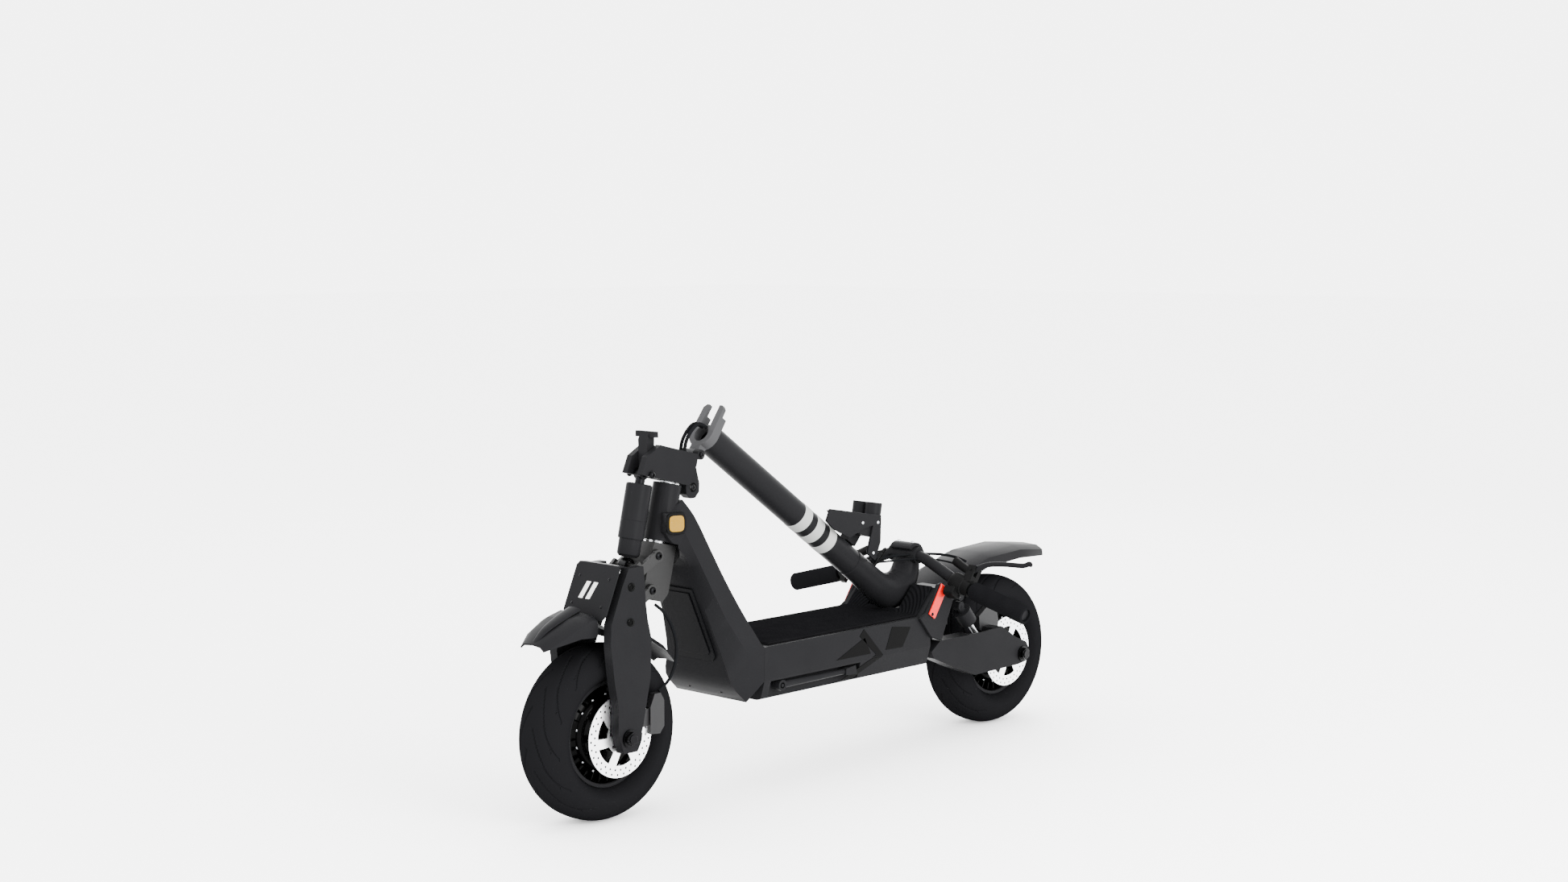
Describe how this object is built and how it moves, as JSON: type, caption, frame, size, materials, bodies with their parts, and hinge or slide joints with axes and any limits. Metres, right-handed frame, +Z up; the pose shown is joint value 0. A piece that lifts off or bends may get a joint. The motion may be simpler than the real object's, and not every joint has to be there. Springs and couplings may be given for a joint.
{
  "type": "folding electric kick scooter",
  "caption": "Full-suspension electric kick scooter, shown folded: deck, raked head, linkage fork, swingarm, disc brakes and a stem that folds back over the deck.",
  "frame": {"origin": "on the ground, midway between the wheels, on the centre plane", "axes": "+X forward, +Y the rider's left, +Z up"},
  "size_m": [1.3466, 0.5948, 0.687],
  "materials": {
    "painted_black": "satin black powder coat",
    "gloss_black": "gloss black paint",
    "link_grey": "grey anodised aluminium",
    "bare_steel": "bare steel",
    "rotor_steel": "bright brushed steel",
    "tyre_rubber": "matte tyre rubber",
    "grip_rubber": "ribbed black rubber",
    "control_plastic": "matte black plastic",
    "cell_wrap": "blue shrink wrap",
    "amber_lens": "amber reflector",
    "red_lens": "red lamp lens"
  },
  "bodies": {
    "frame": {"main_frame": "painted_black", "belly_pan": "painted_black", "battery_pack": "cell_wrap", "deck_mat": "grip_rubber", "neck_cover": "gloss_black", "neck_reflector_left": "amber_lens", "neck_reflector_right": "amber_lens", "tail_wing_left": "painted_black", "tail_wing_right": "painted_black", "tail_lamp_left": "red_lens", "tail_lamp_right": "red_lens", "rear_fender": "painted_black"},
    "kickstand": {"kickstand_leg": "painted_black"},
    "steering": {"head_bracket": "painted_black", "steerer_tube": "bare_steel", "lower_bracket": "link_grey", "fold_hinge_pin": "bare_steel"},
    "latch_hook": {"latch_hook": "painted_black"},
    "latch_lever": {"latch_lever": "painted_black"},
    "link_upper": {"front_link_upper": "link_grey"},
    "link_lower": {"front_link_lower": "link_grey"},
    "fork": {"fork_leg_left": "painted_black", "fork_leg_right": "painted_black", "fork_crown": "painted_black", "crown_plate": "painted_black", "front_fender": "painted_black", "front_axle": "bare_steel", "front_caliper": "bare_steel", "front_brake_hose": "grip_rubber"},
    "front_shock_body": {"front_shock_body": "painted_black"},
    "front_shock_rod": {"front_shock_rod": "bare_steel"},
    "front_wheel": {"front_tyre": "tyre_rubber", "front_hub_motor": "gloss_black", "front_rotor": "rotor_steel"},
    "swingarm": {"rear_swingarm": "painted_black", "rear_axle": "bare_steel", "rear_caliper": "bare_steel"},
    "rear_wheel": {"rear_tyre": "tyre_rubber", "rear_hub_motor": "gloss_black", "rear_rotor": "rotor_steel"},
    "rear_shock_body_left": {"rear_shock_body_left": "painted_black"},
    "rear_shock_rod_left": {"rear_shock_rod_left": "bare_steel"},
    "rear_shock_body_right": {"rear_shock_body_right": "painted_black"},
    "rear_shock_rod_right": {"rear_shock_rod_right": "bare_steel"},
    "stem": {"stem_base": "painted_black", "stem_tube": "painted_black", "gooseneck": "painted_black", "bar_clamp": "painted_black", "handlebar": "painted_black", "grip_left": "grip_rubber", "grip_right": "grip_rubber", "lever_perch_left": "control_plastic", "lever_perch_right": "control_plastic", "control_pod": "control_plastic", "headlight_housing": "painted_black", "fold_cable_left": "grip_rubber", "fold_cable_right": "grip_rubber"},
    "brake_lever_left": {"brake_lever_left": "painted_black"},
    "brake_lever_right": {"brake_lever_right": "painted_black"},
    "throttle": {"throttle_lever": "control_plastic"}
  },
  "joints": [
    {"name": "steer", "type": "hinge", "parent": "frame", "child": "steering", "pos_m": [0.344, 0, 0.615], "axis": [-0.2419, 0, 0.9703], "range_deg": [-0.25, 0.25]},
    {"name": "stem_fold", "type": "hinge", "parent": "steering", "child": "stem", "pos_m": [0.30131, 0, 0.60436], "axis": [0, 1, 0], "range_deg": [0, 111], "deforming": ["fold_cable_left", "fold_cable_right"]},
    {"name": "latch_hook", "type": "hinge", "parent": "steering", "child": "latch_hook", "pos_m": [0.40656, 0, 0.59556], "axis": [0, -1, 0], "range_deg": [0, 26]},
    {"name": "latch_lever", "type": "hinge", "parent": "steering", "child": "latch_lever", "pos_m": [0.31585, 0, 0.58737], "axis": [0, 1, 0], "range_deg": [0, 40]},
    {"name": "front_suspension", "type": "hinge", "parent": "steering", "child": "link_lower", "pos_m": [0.42498, 0, 0.38114], "axis": [0, -1, 0], "range_deg": [0, 35], "stiffness_Nm_per_rad": 70, "springref_deg": -22.92},
    {"name": "front_link_upper", "type": "hinge", "parent": "steering", "child": "link_upper", "pos_m": [0.41046, 0, 0.43936], "axis": [0, -1, 0], "range_deg": [0, 35]},
    {"name": "fork_pivot", "type": "hinge", "parent": "link_lower", "child": "fork", "pos_m": [0.49178, 0, 0.34472], "axis": [0, -1, 0], "range_deg": [-35, 0], "deforming": ["front_brake_hose"]},
    {"name": "front_shock_swing", "type": "hinge", "parent": "steering", "child": "front_shock_body", "pos_m": [0.42013, 0, 0.57833], "axis": [0, -1, 0], "range_deg": [0, 2.8]},
    {"name": "front_shock_slide", "type": "slide", "parent": "front_shock_body", "child": "front_shock_rod", "axis": [-0.2215, 0, 0.9752], "range_m": [0, 0.0273]},
    {"name": "front_wheel_spin", "type": "hinge", "parent": "fork", "child": "front_wheel", "pos_m": [0.5233, 0, 0.15], "axis": [0, 1, 0], "continuous": true},
    {"name": "rear_suspension", "type": "hinge", "parent": "frame", "child": "swingarm", "pos_m": [-0.268, 0, 0.192], "axis": [0, 1, 0], "range_deg": [0, 9], "stiffness_Nm_per_rad": 600, "springref_deg": -14.32},
    {"name": "rear_wheel_spin", "type": "hinge", "parent": "swingarm", "child": "rear_wheel", "pos_m": [-0.5233, 0, 0.15], "axis": [0, 1, 0], "continuous": true},
    {"name": "rear_shock_swing_left", "type": "hinge", "parent": "frame", "child": "rear_shock_body_left", "pos_m": [-0.352, 0.0708, 0.264], "axis": [0, 1, 0], "range_deg": [0, 10.1]},
    {"name": "rear_shock_slide_left", "type": "slide", "parent": "rear_shock_body_left", "child": "rear_shock_rod_left", "axis": [0.647, 0, 0.7625], "range_m": [0, 0.0176]},
    {"name": "rear_shock_swing_right", "type": "hinge", "parent": "frame", "child": "rear_shock_body_right", "pos_m": [-0.352, -0.0708, 0.264], "axis": [0, 1, 0], "range_deg": [0, 10.1]},
    {"name": "rear_shock_slide_right", "type": "slide", "parent": "rear_shock_body_right", "child": "rear_shock_rod_right", "axis": [0.647, 0, 0.7625], "range_m": [0, 0.0176]},
    {"name": "brake_lever_left", "type": "hinge", "parent": "stem", "child": "brake_lever_left", "pos_m": [-0.29022, 0.155, 0.34858], "axis": [-0.8192, 0, -0.5736], "range_deg": [0, 18], "stiffness_Nm_per_rad": 0.8, "springref_deg": -17.19},
    {"name": "brake_lever_right", "type": "hinge", "parent": "stem", "child": "brake_lever_right", "pos_m": [-0.29022, -0.155, 0.34858], "axis": [0.8192, 0, 0.5736], "range_deg": [0, 18], "stiffness_Nm_per_rad": 0.8, "springref_deg": -17.19},
    {"name": "throttle", "type": "hinge", "parent": "stem", "child": "throttle", "pos_m": [-0.27564, -0.137, 0.32202], "axis": [-0.0006, 0.9671, 0.2543], "range_deg": [0, 20], "stiffness_Nm_per_rad": 0.05, "springref_deg": -28.65},
    {"name": "kickstand", "type": "hinge", "parent": "frame", "child": "kickstand", "pos_m": [0.172, 0.09, 0.189], "axis": [0, -0.9781, -0.2079], "range_deg": [0, 76]}
  ],
  "couplings": [
    {"joint": "front_link_upper", "follows": "front_suspension", "ratio": 1},
    {"joint": "fork_pivot", "follows": "front_suspension", "ratio": -1},
    {"joint": "front_shock_swing", "follows": "front_suspension", "ratio": 0.0791},
    {"joint": "front_shock_slide", "follows": "front_suspension", "m_per_rad": 0.0445},
    {"joint": "rear_shock_swing_left", "follows": "rear_suspension", "ratio": 1.11},
    {"joint": "rear_shock_slide_left", "follows": "rear_suspension", "m_per_rad": 0.1105},
    {"joint": "rear_shock_swing_right", "follows": "rear_suspension", "ratio": 1.11},
    {"joint": "rear_shock_slide_right", "follows": "rear_suspension", "m_per_rad": 0.1105}
  ]
}
